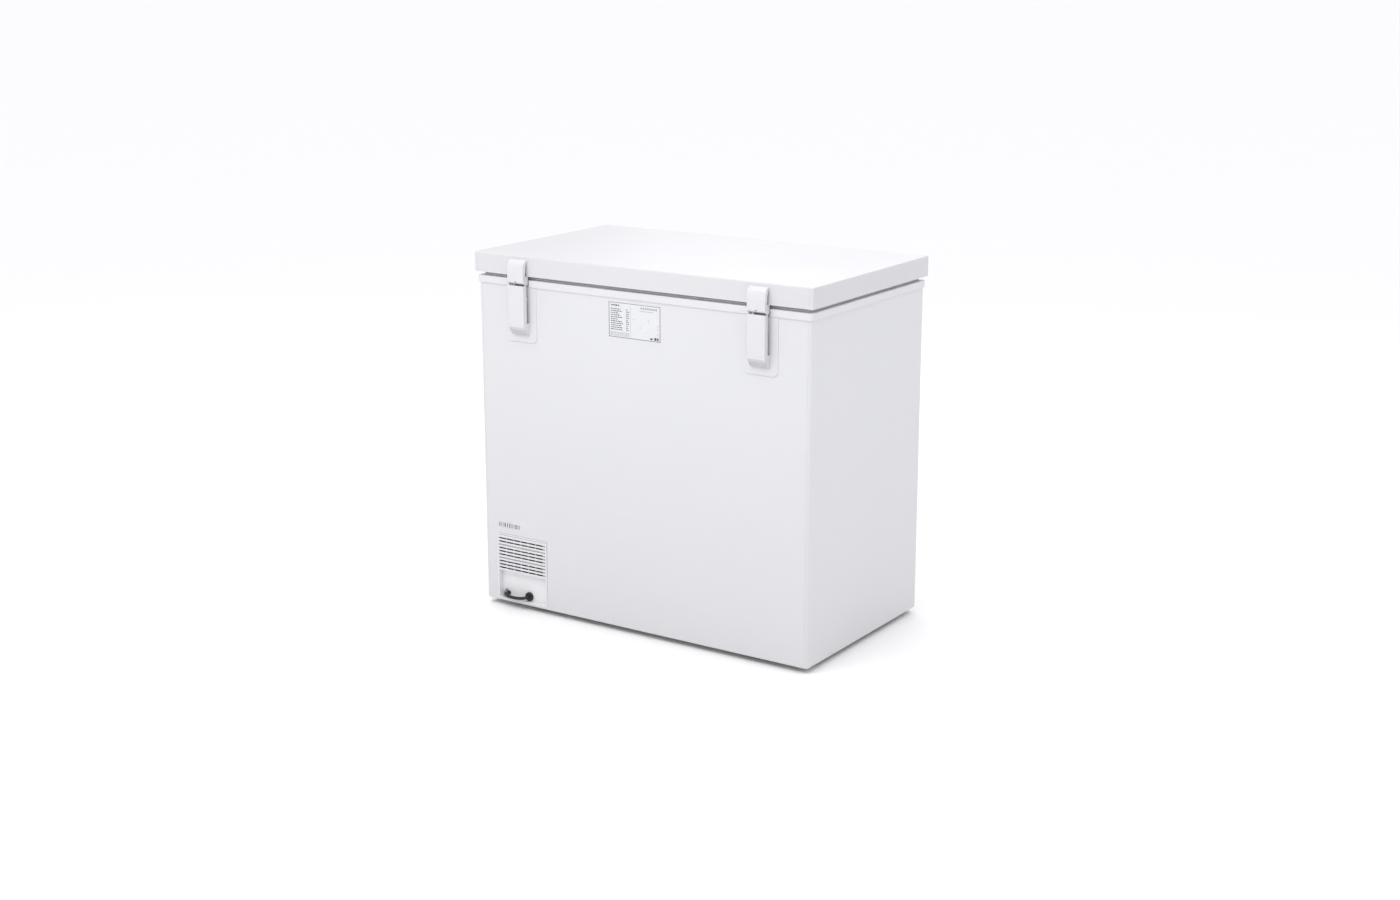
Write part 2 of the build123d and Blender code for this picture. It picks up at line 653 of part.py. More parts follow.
for side, word in HINGE_SIDES:
    centre = side * HINGE_X
    save(base_plate(centre), "hinge_base_plate_" + word)
    save(hinge_housing(centre), "hinge_housing_" + word)
    save(hinge_plunger(centre), "hinge_plunger_" + word)
    save(hinge_spring(centre), "hinge_spring_" + word)
    save(lid_bracket(centre), "hinge_lid_bracket_" + word)
    save(hinge_cover(centre), "hinge_cover_" + word)

with BuildPart() as hinge_pins:
    for side, _ in HINGE_SIDES:
        cx = side * HINGE_X
        rod_along((cx - 17, PIVOT_Y, PIVOT_Z), (cx + 17, PIVOT_Y, PIVOT_Z), PIN_R)
        for sign in (-1, 1):
            x0, x1 = cx + sign * (EAR_IN + EAR_T + FIT), cx + sign * (EAR_IN + EAR_T + 2)
            rod_along((x0, PIVOT_Y, PIVOT_Z), (x1, PIVOT_Y, PIVOT_Z), PIN_R + 1.5)
save(hinge_pins, "hinge_pins")


def screw(start, direction, length, head_r):
    """A button-headed screw, its head resting at start and its shank running along direction."""
    sx, sy, sz = start
    dx, dy, dz = direction
    rod_along(start, (sx + dx * length, sy + dy * length, sz + dz * length), HINGE_SCREW_R)
    rod_along((sx - dx * 1.6, sy - dy * 1.6, sz - dz * 1.6), start, head_r)


with BuildPart() as hinge_base_screws:
    for side, _ in HINGE_SIDES:
        for x, z in HINGE_SCREWS:
            start_y = BACK_Y + 2 * FIT + PLATE_T
            screw((side * HINGE_X + x, start_y, z), (0, -1, 0), 2.6, 3.6)
save(hinge_base_screws, "hinge_base_screws")

with BuildPart() as hinge_lid_screws:
    for side, _ in HINGE_SIDES:
        for x, z in LEAF_SCREWS:
            screw((side * HINGE_X + x, LEAF_Y0 + LEAF_T + FIT, z), (0, -1, 0), 2.0, 3.6)
save(hinge_lid_screws, "hinge_lid_screws")

# Rear cover, labels and controls

with BuildPart() as rear_grille_cover:
    y0 = BACK_Y + FIT
    box_between(COVER_X0, COVER_X1, y0, y0 + COVER_T, COVER_Z0, COVER_Z1)
    fillet(rear_grille_cover.edges().filter_by(Axis.Y), 4.0)
    lip = COVER_LIP + FIT
    x0, x1 = COVER_X0 + lip, COVER_X1 - lip
    z0, z1 = COVER_Z0 + lip, COVER_Z1 - lip
    box_between(x0, x1, y0 - 2.0, y0, RECESS_TOP, z1)
    box_between(x0, x1, RECESS_FACE_Y - 2.0, y0, z0, RECESS_TOP + 2)
    box_between(x0 + 2.5, x1 - 2.5, RECESS_FACE_Y, y0 + 5, z0 + 0.8, RECESS_TOP, mode=Mode.SUBTRACT)
    for row in ROWS_ALL:
        z = ROW_TOP - row * ROW_PITCH
        box_between(x0 + 2, x1 - 2, y0 + 0.4, y0 + 3, z - ROW_H / 2, z + ROW_H / 2, mode=Mode.SUBTRACT)
        for slot in range(SLOTS):
            slot_x = SLOT_X0 + slot * SLOT_STEP
            if row in ROWS_OPEN:
                box_between(
                    slot_x, slot_x + SLOT_W, y0 - 3, y0 + 3, z - ROW_H / 2, z + ROW_H / 2, mode=Mode.SUBTRACT
                )
    box_between(x0 + 2, x1 - 2, y0 + 0.4, y0 + 3, z1 - 2.0, z1 - 1.0, mode=Mode.SUBTRACT)
    rod_along((GLAND_X, 230, GLAND_Z), (GLAND_X, 245, GLAND_Z), GLAND_R - 2.5, mode=Mode.SUBTRACT)
    rod_along((TUCK_X, 230, TUCK_Z), (TUCK_X, 245, TUCK_Z), CORD_D / 2 + 1.6, mode=Mode.SUBTRACT)
save(rear_grille_cover, "rear_grille_cover")

with BuildPart() as rating_label:
    box_between(-65, 77, BACK_Y + 0.05, BACK_Y + 0.3, 688.5, 771)
save(rating_label, "rating_label")

with BuildPart() as stock_label:
    box_between(335, 406, BACK_Y + 0.05, BACK_Y + 0.25, 193, 211)
save(stock_label, "stock_label")

with BuildPart() as side_grille:
    x0 = SIDE_X + FIT
    box_between(x0, x0 + 1.2, GRILLE_Y0, GRILLE_Y1, GRILLE_Z0, GRILLE_Z1)
    fillet(side_grille.edges().filter_by(Axis.X), 5.0)
    lip = GRILLE_LIP + FIT
    box_between(x0 - 3, x0, GRILLE_Y0 + lip, GRILLE_Y1 - lip, GRILLE_Z0 + lip, GRILLE_Z1 - lip)
    for row in range(11):
        z = GRILLE_Z0 + 14 + row * 10
        for y in (GRILLE_Y0 + 12, GRILLE_Y0 + 104):
            box_between(x0 - 4, x0 + 3, y, y + 84, z - 2.5, z + 2.5, mode=Mode.SUBTRACT)
save(side_grille, "side_grille")

KNOB_R = 17.0
KNOB_SHAFT_R = 3.0

with BuildPart() as control_bezel:
    x0, x1 = CONTROL_X - CONTROL_W / 2, CONTROL_X + CONTROL_W / 2
    z0, z1 = CONTROL_Z - CONTROL_H / 2, CONTROL_Z + CONTROL_H / 2
    y0 = FRONT_Y - FIT
    box_between(x0, x1, y0 - 3, y0, z0, z1)
    fillet(control_bezel.edges().filter_by(Axis.Y), 8.0)
    chamfer(control_bezel.faces().sort_by(Axis.Y)[0].edges(), 1.0)
    rod_along((KNOB_X, y0 - 4, CONTROL_Z), (KNOB_X, y0 - 1.5, CONTROL_Z), KNOB_R + 2, mode=Mode.SUBTRACT)
    rod_along((KNOB_X, y0 - 4, CONTROL_Z), (KNOB_X, y0 + 1, CONTROL_Z), KNOB_SHAFT_R + 1, mode=Mode.SUBTRACT)
    for x in LAMP_XS:
        rod_along((x, y0 - 4, CONTROL_Z), (x, y0 + 1, CONTROL_Z), 4.0 + FIT, mode=Mode.SUBTRACT)
save(control_bezel, "control_bezel")

with BuildPart() as indicator_lamps:
    for x in LAMP_XS:
        rod_along((x, FRONT_Y - 4.6, CONTROL_Z), (x, FRONT_Y + 8, CONTROL_Z), 4.0)
    fillet(indicator_lamps.faces().group_by(Axis.Y)[0].edges(), 1.4)
save(indicator_lamps, "indicator_lamps")

with BuildPart() as thermostat_body:
    y0 = FRONT_Y + SHEET + FIT
    box_between(KNOB_X - 20, KNOB_X + 20, y0 + 8, y0 + 40, CONTROL_Z - 16, CONTROL_Z + 16)
    rod_along((KNOB_X, y0, CONTROL_Z), (KNOB_X, y0 + 8, CONTROL_Z), 6.0)
    rod_along(
        (KNOB_X, y0 - 1, CONTROL_Z), (KNOB_X, y0 + 12, CONTROL_Z), KNOB_SHAFT_R + RUNNING, mode=Mode.SUBTRACT
    )
    for x in (KNOB_X - 8, KNOB_X, KNOB_X + 8):
        box_between(x - 2.4, x + 2.4, y0 + 40, y0 + 50, CONTROL_Z - 0.4, CONTROL_Z + 0.4)
save(thermostat_body, "thermostat_body")

with BuildPart() as thermostat_knob:
    y0 = FRONT_Y - FIT - 1.5 - MOVING_GAP
    rod_along((KNOB_X, y0 - 3, CONTROL_Z), (KNOB_X, y0, CONTROL_Z), KNOB_R)
    rod_along((KNOB_X, y0 - 13, CONTROL_Z), (KNOB_X, y0 - 3, CONTROL_Z), KNOB_R - 3)
    fillet(thermostat_knob.faces().sort_by(Axis.Y)[0].edges(), 1.5)
    for sign in (-1, 1):
        xs = sorted((KNOB_X + sign * 4.5, KNOB_X + sign * KNOB_R))
        box_between(*xs, y0 - 14, y0 - 5, CONTROL_Z - KNOB_R, CONTROL_Z + KNOB_R, mode=Mode.SUBTRACT)
    rod_along((KNOB_X, y0, CONTROL_Z), (KNOB_X, FRONT_Y + 11.5, CONTROL_Z), KNOB_SHAFT_R)
    box_between(
        KNOB_X - 0.8, KNOB_X + 0.8, y0 - 14, y0 - 12.2, CONTROL_Z + 4, CONTROL_Z + 15,
        mode=Mode.SUBTRACT,
    )
save(thermostat_knob, "thermostat_knob")

# Drain

with BuildPart() as drain_tube:
    tube(drain_points(FRONT_Y - 3), DRAIN_R, radii=[18.0])
    tube(drain_points(FRONT_Y - 3), 7.0, radii=[18.0], mode=Mode.SUBTRACT)
save(drain_tube, "drain_tube")

with BuildPart() as drain_plug:
    rod_along((DRAIN_X, DRAIN_Y, 70), (DRAIN_X, DRAIN_Y, CAVITY_FLOOR + MOVING_GAP), 6.7)
    top = CAVITY_FLOOR + MOVING_GAP
    rod_along((DRAIN_X, DRAIN_Y, top), (DRAIN_X, DRAIN_Y, top + 2.5), 15.0)
    box_between(DRAIN_X - 9, DRAIN_X + 9, DRAIN_Y - 1.5, DRAIN_Y + 1.5, top + 2, top + 13)
save(drain_plug, "drain_plug")

with BuildPart() as drain_cap:
    y0 = FRONT_Y - 3 - MOVING_GAP
    rod_along((DRAIN_X, y0 - 4, DRAIN_Z), (DRAIN_X, y0, DRAIN_Z), 13.0)
    rod_along((DRAIN_X, y0 - 7, DRAIN_Z), (DRAIN_X, y0 - 4, DRAIN_Z), 8.0)
    rod_along((DRAIN_X, y0, DRAIN_Z), (DRAIN_X, y0 + 11, DRAIN_Z), 6.7)
save(drain_cap, "drain_cap")

# Basket of coated wire

WIRE_R = 1.6
RIM_R = 2.2
BASKET_X0, BASKET_X1 = 176.0, 372.0
BASKET_Y = 176.0
BASKET_Z0, BASKET_Z1 = 592.0, 774.0
HOOK_Y0, HOOK_Y1 = 180.4, 202.0
BASKET_TAPER = 8.0
BASE_R = 1.9
WELD_GAP = 0.1
WIRES_ACROSS = 6
WIRES_ALONG = 10


def wire_between(start, end, radius):
    axis = Vector(*end) - Vector(*start)
    return Solid.make_cylinder(radius, axis.length, Plane(origin=start, z_dir=axis))


def side_grid(fixed, spans, along_x):
    """One side of the basket: its rim, middle and base wires and the uprights between them."""
    rim_at, _, base_at = fixed
    rim_ends, _, base_ends = spans
    heights = (BASKET_Z1, (BASKET_Z0 + BASKET_Z1) / 2, BASKET_Z0)
    radii = (RIM_R, WIRE_R, BASE_R)

    def place(along, across, z):
        return (along, across, z) if along_x else (across, along, z)

    wires = []
    for at, ends, z, radius in zip(fixed, spans, heights, radii):
        reach = radius if along_x else -radius - WELD_GAP
        wires.append(wire_between(place(ends[0] - reach, at, z), place(ends[1] + reach, at, z), radius))
    count = WIRES_ACROSS if along_x else WIRES_ALONG
    for i in range(1, count):
        share = i / count
        low = base_ends[0] + share * (base_ends[1] - base_ends[0])
        high = rim_ends[0] + share * (rim_ends[1] - rim_ends[0])
        foot, head = place(low, base_at, BASKET_Z0), place(high, rim_at, BASKET_Z1)
        wires.append(wire_between(foot, head, WIRE_R - 0.2))
    return wires


def floor_grid(x0, x1, y0, y1):
    wires = []
    inset = BASE_R + WELD_GAP
    for i in range(1, WIRES_ACROSS):
        x = x0 + i / WIRES_ACROSS * (x1 - x0)
        wires.append(wire_between((x, y0 + inset, BASKET_Z0), (x, y1 - inset, BASKET_Z0), WIRE_R - 0.3))
    for i in range(1, WIRES_ALONG):
        y = y0 + i / WIRES_ALONG * (y1 - y0)
        wires.append(wire_between((x0 + inset, y, BASKET_Z0), (x1 - inset, y, BASKET_Z0), WIRE_R - 0.2))
    return wires


def hook_loop(sign):
    hook_z = FRAME_TOP_Z + MOVING_GAP + RIM_R
    y1, y2 = BODY_CY + sign * HOOK_Y0, BODY_CY + sign * HOOK_Y1
    xs = (BASKET_X0 + 30, BASKET_X1 - 30)
    wires = [wire_between((xs[0] - 3, y2, hook_z), (xs[1] + 3, y2, hook_z), RIM_R)]
    for x in xs:
        wires.append(wire_between((x, y1, BASKET_Z1 - 2), (x, y1, hook_z + RIM_R - 0.4), RIM_R - 0.3))
        wires.append(wire_between((x, y1 - sign * RIM_R, hook_z), (x, y2, hook_z), RIM_R - 0.1))
    return wires


def basket_groups():
    """Sides, floor and hooks, each a flat grid of its own, held a hair apart where they are welded."""
    xa, xb = BASKET_X0, BASKET_X1
    ya, yb = BODY_CY - BASKET_Y, BODY_CY + BASKET_Y
    half, full = BASKET_TAPER / 2, BASKET_TAPER
    x_spans = ((xa, xb), (xa + half, xb - half), (xa + full, xb - full))
    y_spans = ((ya, yb), (ya + half, yb - half), (ya + full, yb - full))
    groups = []
    for y, inward in ((ya, 1), (yb, -1)):
        groups.append(side_grid((y, y + inward * half, y + inward * full), x_spans, True))
    for x, inward in ((xa, 1), (xb, -1)):
        groups.append(side_grid((x, x + inward * half, x + inward * full), y_spans, False))
    groups.append(floor_grid(xa + full, xb - full, ya + full, yb - full))
    groups.append(hook_loop(-1))
    groups.append(hook_loop(1))
    return groups


with BuildPart() as wire_basket:
    for group in basket_groups():
        add(group)
save(wire_basket, "wire_basket")

# Compressor and pipework

PUMP_X, PUMP_Y = 335.0, -60.0
PUMP_R = 70.0
PUMP_FEET = ((-78.0, -48.0), (-78.0, 48.0), (78.0, -48.0), (78.0, 48.0))

with BuildPart() as compressor_mount_plate:
    box_between(PUMP_X - 96, PUMP_X + 96, PUMP_Y - 62, PUMP_Y + 62, 30.5, 33.5)
    fillet(compressor_mount_plate.edges().filter_by(Axis.Z), 14.0)
    for x, y in PUMP_FEET:
        rod_along((PUMP_X + x, PUMP_Y + y, 29), (PUMP_X + x, PUMP_Y + y, 35), 8.0 + FIT, mode=Mode.SUBTRACT)
save(compressor_mount_plate, "compressor_mount_plate")

with BuildPart() as compressor_grommets:
    for x, y in PUMP_FEET:
        px, py = PUMP_X + x, PUMP_Y + y
        rod_along((px, py, PAN_TOP + FIT), (px, py, 30.4), 12.5)
        rod_along((px, py, 30.4), (px, py, 37.0), 8.0)
        rod_along((px, py, 10), (px, py, 40), 4.0 + FIT, mode=Mode.SUBTRACT)
save(compressor_grommets, "compressor_grommets")

with BuildPart() as compressor_bolts:
    for x, y in PUMP_FEET:
        px, py = PUMP_X + x, PUMP_Y + y
        rod_along((px, py, PAN_TOP + FIT), (px, py, 37.1), 4.0)
        rod_along((px, py, 37.1), (px, py, 38.3), 9.0)
        with BuildSketch(Plane.XY.offset(38.3)) as head:
            with Locations((px, py)):
                RegularPolygon(6.5, 6)
        extrude(head.sketch, amount=5)
save(compressor_bolts, "compressor_bolts")

with BuildPart() as compressor_lower_shell:
    rod_along((PUMP_X, PUMP_Y, 33.6), (PUMP_X, PUMP_Y, 104), PUMP_R)
    fillet(compressor_lower_shell.faces().sort_by(Axis.Z)[0].edges(), 26.0)
    offset(amount=-3.5, openings=compressor_lower_shell.faces().sort_by(Axis.Z)[-1])
save(compressor_lower_shell, "compressor_lower_shell")

with BuildPart() as compressor_upper_shell:
    rod_along((PUMP_X, PUMP_Y, 104.1), (PUMP_X, PUMP_Y, 186), PUMP_R)
    fillet(compressor_upper_shell.faces().sort_by(Axis.Z)[-1].edges(), 36.0)
    offset(amount=-3.5, openings=compressor_upper_shell.faces().sort_by(Axis.Z)[0])
    with BuildSketch(Plane.XY.offset(104.1)) as weld:
        with Locations((PUMP_X, PUMP_Y)):
            Circle(PUMP_R + 3)
            Circle(PUMP_R - 1, mode=Mode.SUBTRACT)
    extrude(weld.sketch, amount=6)
save(compressor_upper_shell, "compressor_upper_shell")

with BuildPart() as compressor_pump:
    rod_along((PUMP_X, PUMP_Y, 48), (PUMP_X, PUMP_Y, 95), 52.0)
    rod_along((PUMP_X, PUMP_Y, 95), (PUMP_X, PUMP_Y, 150), 40.0)
save(compressor_pump, "compressor_pump")

with BuildPart() as terminal_cover:
    y0 = PUMP_Y + PUMP_R + 3.3
    box_between(PUMP_X - 27, PUMP_X + 27, y0, y0 + 36, 62, 124)
    fillet(terminal_cover.faces().sort_by(Axis.Y)[-1].edges(), 5.0)
save(terminal_cover, "terminal_cover")

with BuildPart() as filter_drier:
    rod_along((418, 60, 92), (418, 60, 176), 9.5)
    fillet(filter_drier.edges(), 4.0)
    rod_along((418, 60, 80), (418, 60, 188), 3.2)
save(filter_drier, "filter_drier")

DISCHARGE = [(398, -60, 150), (412, -60, 172), (420, -30, 196), (420, 10, 206), (424, 40, 210)]
DISCHARGE_WALL = [(436, 64, 214), (436, 92, 222), (436, 104, 234.5)]
SUCTION = [(272, -60, 150), (257, -62, 172), (246, -84, 190), (244, -112, 204), (244, -128, 220)]
SUCTION_WALL = [(244, -132, 234.6)]

with BuildPart() as discharge_tube:
    tube(DISCHARGE + DISCHARGE_WALL, 3.0)
save(discharge_tube, "discharge_tube")

with BuildPart() as suction_tube:
    tube(SUCTION + SUCTION_WALL, 4.0)
save(suction_tube, "suction_tube")

CAPILLARY_ROUTE = [
    (418, 60, 79.8), (418, 62, 66), (410, 68, 56), (396, 76, 52), (378, 82, 54), (362, 84, 62),
    (352, 84, 76),
]
with BuildPart() as capillary_tube:
    tube(CAPILLARY_ROUTE, 1.2)
save(capillary_tube, "capillary_tube")

EVAPORATOR_X, EVAPORATOR_Y = 391.5, 196.5
CONDENSER_X, CONDENSER_Y = 438.0, 243.5


def wall_coil(half_x, half_y, z0, z1, turns, radius, bend):
    """A pipe wound round the walls, climbing steadily."""
    corners = ((-half_x, -half_y), (half_x, -half_y), (half_x, half_y), (-half_x, half_y))
    rise = (z1 - z0) / (4 * turns)
    points = []
    for i in range(4 * turns):
        x, y = corners[i % 4]
        points.append((x, BODY_CY + y, z0 + i * rise))
    with BuildPart() as coil:
        tube(points, radius, radii=[bend] * (len(points) - 2))
    return coil


save(wall_coil(EVAPORATOR_X, EVAPORATOR_Y, 320.0, 740.0, 7, 4.0, 30.0), "evaporator_coil")
save(wall_coil(CONDENSER_X, CONDENSER_Y, 270.0, 740.0, 6, 2.5, 14.0), "condenser_coil")

# Power cord

with BuildPart() as cord_gland:
    rod_along((GLAND_X, RECESS_FACE_Y - 6, GLAND_Z), (GLAND_X, RECESS_FACE_Y + FIT, GLAND_Z), GLAND_R - 2.6)
    rod_along((GLAND_X, RECESS_FACE_Y + FIT, GLAND_Z), (GLAND_X, RECESS_FACE_Y + 5, GLAND_Z), GLAND_R)
    fillet(cord_gland.faces().sort_by(Axis.Y)[-1].edges(), 1.5)
    rod_along((GLAND_X, RECESS_FACE_Y + 4, GLAND_Z), (GLAND_X, RECESS_FACE_Y + 7, GLAND_Z), CORD_D / 2 + 1.6)
save(cord_gland, "cord_gland")

with BuildPart() as power_cord:
    cord_length = tube(CORD_ROUTE, CORD_D / 2)
save(power_cord, "power_cord")
print("cord bends", [round(r, 1) for r in bend_radii(CORD_ROUTE)])
print("cord volume", power_cord.part.volume, "section x length", math.pi * CORD_D**2 / 4 * cord_length)
print("cord length", cord_length)

with BuildPart() as cord_coil:
    inner_r = COIL_RADII[0] - CORD_D / 2
    outer_r = COIL_RADII[-1] + CORD_D / 2
    with BuildSketch(Plane.XY.offset(COIL_LOW_Z - CORD_D / 2)) as coil_ring:
        with Locations((COIL_X, COIL_Y)):
            Circle(outer_r)
            Circle(inner_r, mode=Mode.SUBTRACT)
    extrude(coil_ring.sketch, amount=COIL_HIGH_Z - COIL_LOW_Z + CORD_D)
    fillet(cord_coil.edges(), 3.2)
save(cord_coil, "cord_coil")

with BuildPart() as power_plug:
    px = COIL_X - COIL_RADII[-1]
    relief_y0 = COIL_Y + 14
    with BuildSketch(Plane(origin=(px, relief_y0, COIL_HIGH_Z), z_dir=(0, 1, 0.06))) as thin_end:
        Circle(4.2)
    with BuildSketch(Plane(origin=(px, relief_y0 + 32, PLUG_AXIS_Z), z_dir=(0, 1, 0.06))) as thick_end:
        Circle(7.0)
    loft([thin_end.sketch, thick_end.sketch])
    body_y0 = relief_y0 + 30
    box_between(px - 17, px + 17, body_y0, body_y0 + 30, PLUG_AXIS_Z - 12, PLUG_AXIS_Z + 12)
    fillet(power_plug.edges().filter_by(Axis.Y), 6.0)
    for sign in (-1, 1):
        pin_x = px + sign * 9.5
        rod_along((pin_x, body_y0 + 29, PLUG_AXIS_Z), (pin_x, body_y0 + 49, PLUG_AXIS_Z), 2.4)
save(power_plug, "power_plug")

LEAD = [
    (324, 233.4, 32.5), (323.5, 214, 34), (322, 192, 48), (322.5, 165, 72), (326, 128, 92),
    (331, 88, 100), (334, 50.6, 102),
]

with BuildPart() as supply_lead:
    tube(LEAD, 3.4)
save(supply_lead, "supply_lead")
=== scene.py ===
import math
import random

import bmesh
import bpy
from mathutils import Matrix, Vector


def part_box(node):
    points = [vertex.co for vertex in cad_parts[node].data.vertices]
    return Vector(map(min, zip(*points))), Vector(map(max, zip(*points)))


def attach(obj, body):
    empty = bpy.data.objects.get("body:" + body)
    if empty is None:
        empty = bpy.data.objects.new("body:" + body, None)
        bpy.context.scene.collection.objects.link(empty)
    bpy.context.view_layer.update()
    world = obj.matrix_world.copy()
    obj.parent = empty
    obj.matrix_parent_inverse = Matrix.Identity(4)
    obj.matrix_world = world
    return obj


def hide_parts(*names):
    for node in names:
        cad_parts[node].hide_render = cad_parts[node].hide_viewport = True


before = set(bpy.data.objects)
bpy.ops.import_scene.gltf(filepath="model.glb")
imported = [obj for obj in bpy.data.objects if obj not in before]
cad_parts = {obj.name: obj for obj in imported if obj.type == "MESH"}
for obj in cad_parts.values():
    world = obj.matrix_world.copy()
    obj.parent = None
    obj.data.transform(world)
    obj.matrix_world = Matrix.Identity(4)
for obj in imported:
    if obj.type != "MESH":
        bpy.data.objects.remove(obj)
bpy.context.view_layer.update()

MM = 0.001
rng = random.Random(7)


# Camera

IMAGE_W = 1400
SENSOR_MM = 36.0
FOCAL_PX = 1994.0
SHIFT_Y = -0.0286
CAMERA_AT = (-2.5002, 3.7625, 1.5555)
CAMERA_AZ = math.radians(213.6)
CAMERA_EL = math.radians(13.37)


def make_camera():
    data = bpy.data.cameras.new("photo_camera")
    data.sensor_width = SENSOR_MM
    data.lens = FOCAL_PX / IMAGE_W * SENSOR_MM
    data.shift_y = SHIFT_Y
    camera = bpy.data.objects.new("photo_camera", data)
    bpy.context.scene.collection.objects.link(camera)
    ahead = Vector((
        -math.sin(CAMERA_AZ) * math.cos(CAMERA_EL),
        math.cos(CAMERA_AZ) * math.cos(CAMERA_EL),
        -math.sin(CAMERA_EL),
    ))
    camera.location = CAMERA_AT
    camera.rotation_mode = "QUATERNION"
    camera.rotation_quaternion = ahead.to_track_quat("-Z", "Y")
    bpy.context.scene.camera = camera


make_camera()


# Materials


class Surface:
    """A Principled material with object-space noise for its colour, roughness and bump."""

    def __init__(self, name, color, roughness, **settings):
        self.material = bpy.data.materials.new(name)
        self.material.use_nodes = True
        self.nodes = self.material.node_tree.nodes
        self.links = self.material.node_tree.links
        self.shader = self.nodes["Principled BSDF"]
        self.shader.inputs["Base Color"].default_value = (*color, 1.0)
        self.shader.inputs["Roughness"].default_value = roughness
        for socket, value in settings.items():
            self.shader.inputs[socket.replace("_", " ")].default_value = value
        self.color = color
        self.roughness = roughness
        self.place = self.nodes.new("ShaderNodeTexCoord").outputs["Object"]
        self.normal = None

    def noise(self, scale, detail=3.0, stretch=None):
        node = self.nodes.new("ShaderNodeTexNoise")
        node.inputs["Scale"].default_value = scale
        node.inputs["Detail"].default_value = detail
        place = self.place
        if stretch:
            mapping = self.nodes.new("ShaderNodeMapping")
            mapping.inputs["Scale"].default_value = stretch
            self.links.new(place, mapping.inputs["Vector"])
            place = mapping.outputs["Vector"]
        self.links.new(place, node.inputs["Vector"])
        return node.outputs["Fac"]

    def spread(self, value, low, high, dark=0.3, light=0.7):
        node = self.nodes.new("ShaderNodeMapRange")
        self.links.new(value, node.inputs["Value"])
        node.inputs["From Min"].default_value = dark
        node.inputs["From Max"].default_value = light
        node.inputs["To Min"].default_value = low
        node.inputs["To Max"].default_value = high
        return node.outputs["Result"]

    def vary_roughness(self, scale, amount, stretch=None):
        low, high = self.roughness - amount, self.roughness + amount
        value = self.spread(self.noise(scale, 4.0, stretch), low, high)
        self.links.new(value, self.shader.inputs["Roughness"])
        return self

    def vary_color(self, scale, other, share=1.0, stretch=None):
        return self.tint(self.spread(self.noise(scale, 5.0, stretch), 0.0, share), other)

    def bump(self, height, distance, strength=1.0):
        node = self.nodes.new("ShaderNodeBump")
        node.inputs["Distance"].default_value = distance
        node.inputs["Strength"].default_value = strength
        self.links.new(height, node.inputs["Height"])
        if self.normal:
            self.links.new(self.normal, node.inputs["Normal"])
        self.normal = node.outputs["Normal"]
        self.links.new(self.normal, self.shader.inputs["Normal"])
        return self

    def grain(self, scale, distance, strength=0.5, stretch=None):
        return self.bump(self.noise(scale, 3.0, stretch), distance, strength)

    def cells(self, scale, distance, strength=0.6):
        node = self.nodes.new("ShaderNodeTexVoronoi")
        node.inputs["Scale"].default_value = scale
        self.links.new(self.place, node.inputs["Vector"])
        return self.bump(node.outputs["Distance"], distance, strength)

    def axis(self, source, name):
        node = self.nodes.new("ShaderNodeSeparateXYZ")
        self.links.new(source, node.inputs["Vector"])
        return node.outputs[name]

    def tint(self, share, other):
        """Mix the colour so far towards another one by a socket's value."""
        mix = self.nodes.new("ShaderNodeMix")
        mix.data_type = "RGBA"
        below = self.shader.inputs["Base Color"]
        if below.is_linked:
            self.links.new(below.links[0].from_socket, mix.inputs["A"])
        else:
            mix.inputs["A"].default_value = (*self.color, 1.0)
        mix.inputs["B"].default_value = (*other, 1.0)
        self.links.new(share, mix.inputs["Factor"])
        self.links.new(mix.outputs["Result"], below)
        return self

    def multiply(self, one, two):
        node = self.nodes.new("ShaderNodeMath")
        node.operation = "MULTIPLY"
        self.links.new(one, node.inputs[0])
        self.links.new(two, node.inputs[1])
        return node.outputs["Value"]


WHITE = (0.710, 0.712, 0.735)


def coated_steel():
    steel = Surface("coated_steel", WHITE, 0.34, Coat_Weight=0.25, Coat_Roughness=0.25)
    steel.vary_roughness(6.0, 0.03).vary_color(2.2, (0.695, 0.698, 0.725), 0.8)
    # Painted shade: the paint is tinted darker towards the bottom of the cabinet, standing in for the
    # fall-off of light lower down.
    low = steel.spread(steel.axis(steel.place, "Z"), 0.6, 0.0, 0.02, 0.62)
    steel.tint(low, (0.640, 0.640, 0.655))
    return steel.grain(900.0, 0.00006, 0.25).grain(3.0, 0.0012, 0.10).material


def lid_steel():
    # Painted shade: the lid's paint is a darker copy of the cabinet paint, darkened to offset the stronger
    # light falling on the top.
    steel = Surface("lid_coated_steel", (0.685, 0.685, 0.703), 0.45, Specular_IOR_Level=0.2)
    steel.vary_roughness(5.0, 0.03).vary_color(2.0, (0.668, 0.668, 0.690), 0.8)
    return steel.grain(900.0, 0.00006, 0.25).grain(3.0, 0.0010, 0.08).material


def moulded_plastic(name, color, roughness, scale=700.0):
    plastic = Surface(name, color, roughness, Subsurface_Weight=0.03, Subsurface_Scale=0.003)
    darker = tuple(0.965 * c for c in color)
    plastic.vary_roughness(30.0, 0.04).vary_color(14.0, darker, 0.7)
    return plastic.grain(scale, 0.0001, 0.35).material


GRILLE_FACE_Y = 252.3 * MM
SLOT_SHADE_FROM, SLOT_SHADE_TO = 0.4 * MM, 1.2 * MM
RECESS_TOP_Z = 89.5 * MM
RECESS_BLEND = 0.5 * MM


